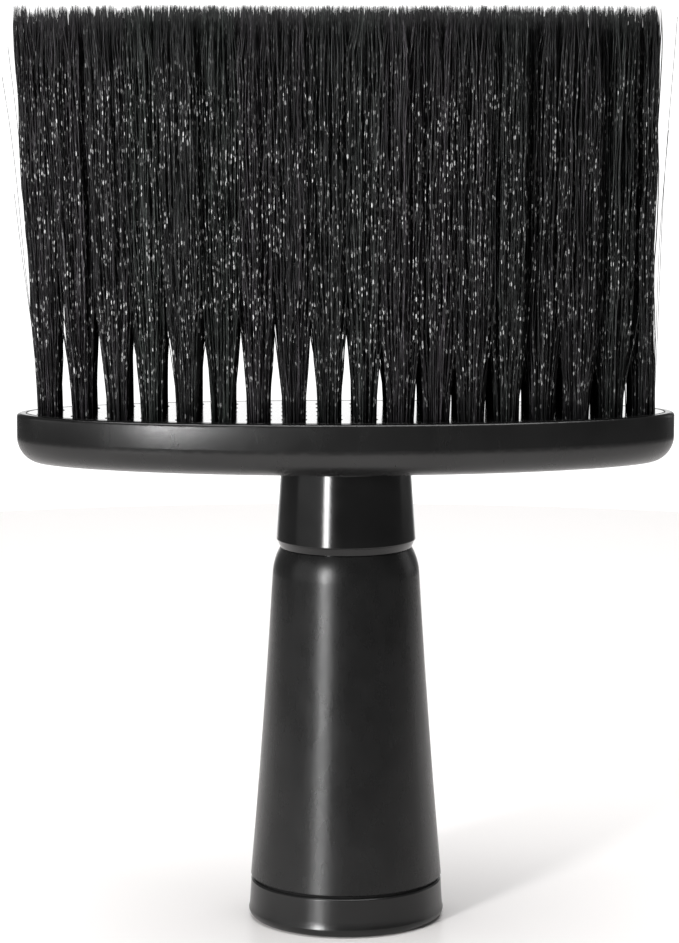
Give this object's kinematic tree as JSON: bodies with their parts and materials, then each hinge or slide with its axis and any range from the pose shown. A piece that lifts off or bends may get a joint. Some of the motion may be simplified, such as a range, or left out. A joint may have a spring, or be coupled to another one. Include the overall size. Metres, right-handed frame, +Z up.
{
  "type": "neck duster brush",
  "caption": "Upright barber's neck duster: an oval head of long soft bristle bundles on a glossy collar and a flared round handle with a screw-on foot cap.",
  "frame": {"origin": "centre of the foot, on the surface the brush stands on", "axes": "+Z up along the handle to the bristle tips, +X along the oval head, +Y across it, towards the back"},
  "size_m": [0.1204, 0.039, 0.1682],
  "materials": {
    "head_plastic": "satin",
    "plate_plastic": "satin",
    "bristle_fibre": "satin",
    "collar_plastic": "gloss",
    "handle_plastic": "satin",
    "cap_plastic": "satin",
    "gasket_rubber": "matte",
    "screw_steel": "satin",
    "washer_steel": "satin",
    "anchor_brass": "satin"
  },
  "bodies": {
    "handle": {"head_shell": "head_plastic", "bristle_plate": "plate_plastic", "bristle_column_01": "bristle_fibre", "bristle_column_02": "bristle_fibre", "bristle_column_03": "bristle_fibre", "bristle_column_04": "bristle_fibre", "bristle_column_05": "bristle_fibre", "bristle_column_06": "bristle_fibre", "bristle_column_07": "bristle_fibre", "bristle_column_08": "bristle_fibre", "bristle_column_09": "bristle_fibre", "bristle_column_10": "bristle_fibre", "bristle_column_11": "bristle_fibre", "bristle_column_12": "bristle_fibre", "bristle_column_13": "bristle_fibre", "bristle_column_14": "bristle_fibre", "bristle_column_15": "bristle_fibre", "bristle_column_16": "bristle_fibre", "bristle_column_17": "bristle_fibre", "bristle_column_18": "bristle_fibre", "anchor_staples": "anchor_brass", "neck_collar": "collar_plastic", "handle_shell": "handle_plastic", "centre_screw": "screw_steel", "screw_washer": "washer_steel"},
    "gasket": {"cap_gasket": "gasket_rubber"},
    "cap": {"base_cap": "cap_plastic"}
  },
  "joints": [
    {"name": "cap_travel", "type": "slide", "parent": "handle", "child": "gasket", "axis": [0, 0, -1], "range_m": [0, 0.0061]},
    {"name": "cap_turn", "type": "hinge", "parent": "gasket", "child": "cap", "pos_m": [0, 0, 0.012], "axis": [0, 0, -1], "range_deg": [0, 720]}
  ],
  "couplings": [
    {"joint": "cap_travel", "follows": "cap_turn", "m_per_rad": 0.00047746}
  ]
}
